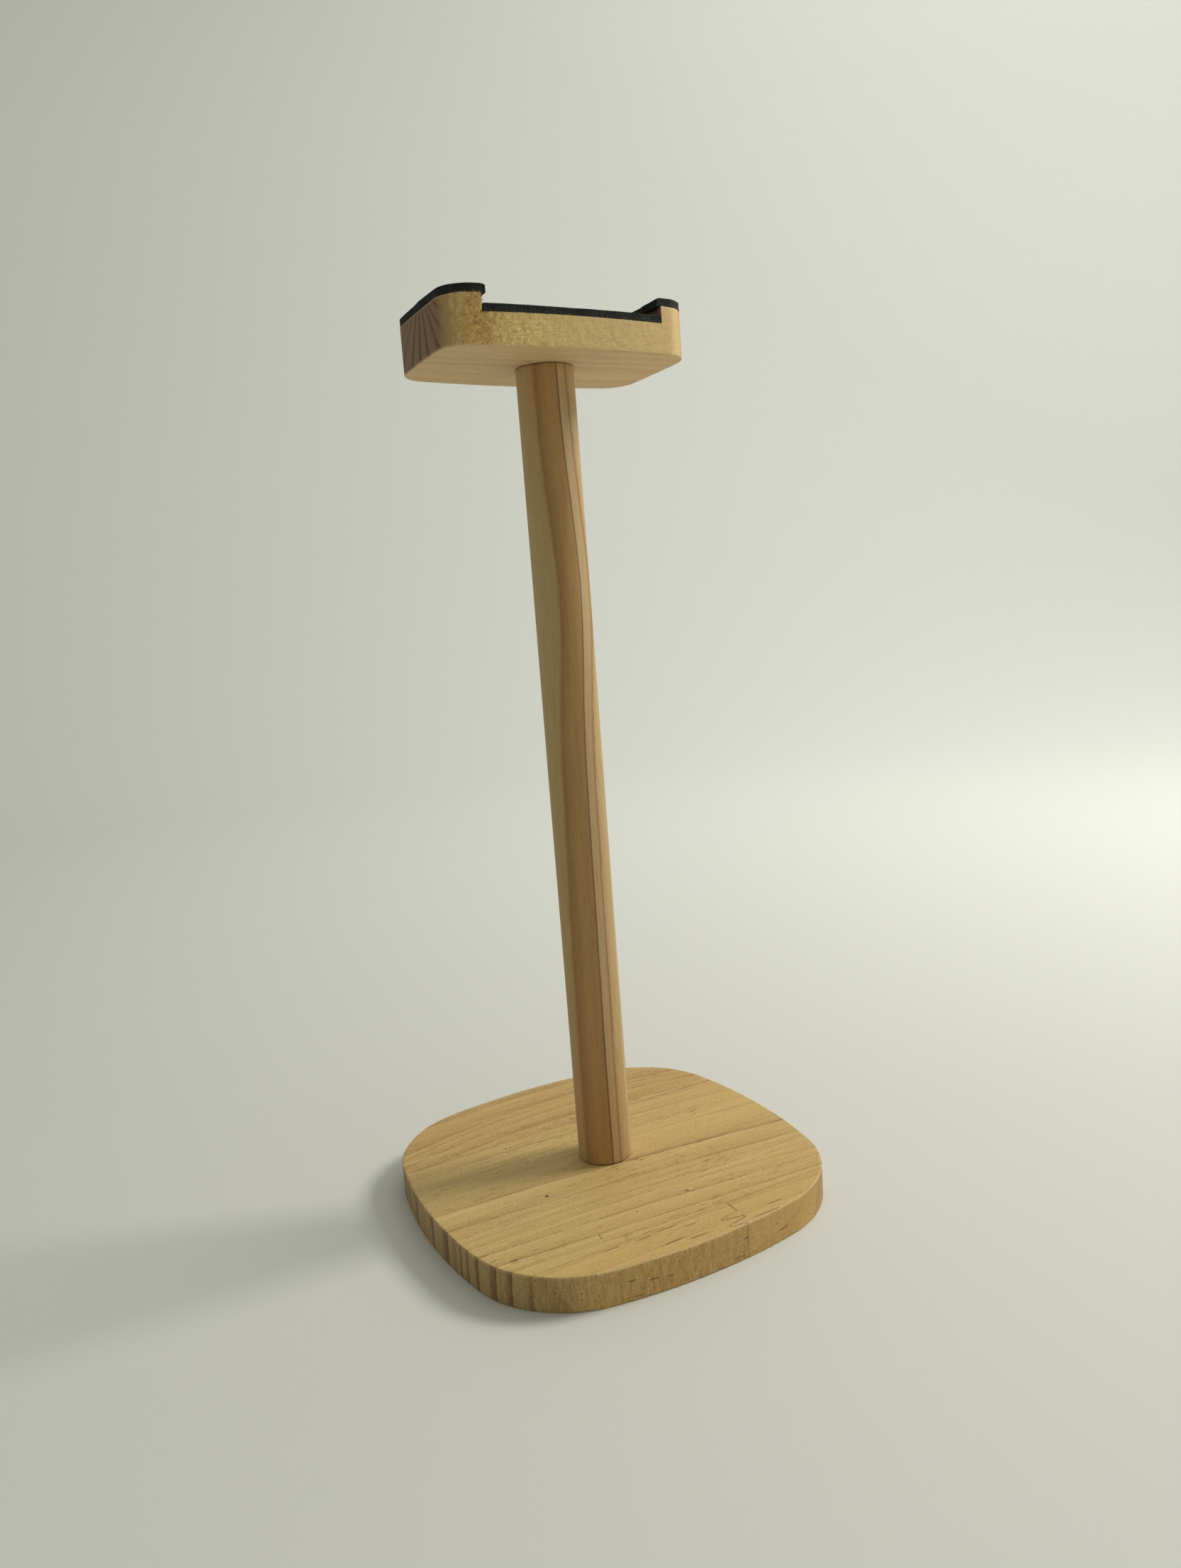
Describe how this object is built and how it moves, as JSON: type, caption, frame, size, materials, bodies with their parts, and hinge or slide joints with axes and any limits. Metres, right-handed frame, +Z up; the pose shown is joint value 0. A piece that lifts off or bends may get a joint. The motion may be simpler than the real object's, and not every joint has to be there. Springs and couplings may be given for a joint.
{
  "type": "headphone stand",
  "caption": "Wooden headphone stand: square board base with bulged sides, round post, and a small saddle whose foam-lined channel holds a headband.",
  "frame": {"origin": "on the surface the stand stands on, under the middle of the base", "axes": "+Z up along the post; X along the base's grain and from ear to ear of the saddle; -Y is the front"},
  "size_m": [0.11, 0.11, 0.2434],
  "materials": {
    "base_front_pine": "sanded bare pine, light flat-sawn grain",
    "base_middle_pine": "sanded bare pine, fine straight grain",
    "base_rear_pine": "sanded bare pine, broad curved grain",
    "post_pine": "sanded bare pine dowel with one dark growth line",
    "saddle_pine": "sanded bare pine, torn fibres on the front left",
    "black_foam": "matte closed-cell foam",
    "screw_steel": "zinc plated",
    "insert_brass": "machined"
  },
  "bodies": {
    "root": {"base_stave_front_left": "base_front_pine", "base_stave_front_right": "base_front_pine", "base_stave_middle": "base_middle_pine", "base_stave_rear": "base_rear_pine", "post": "post_pine", "saddle": "saddle_pine", "ear_pad_left": "black_foam", "ear_pad_right": "black_foam", "channel_pad": "black_foam", "base_screw": "screw_steel", "saddle_screw": "screw_steel", "post_insert_lower": "insert_brass", "post_insert_upper": "insert_brass"}
  },
  "joints": []
}
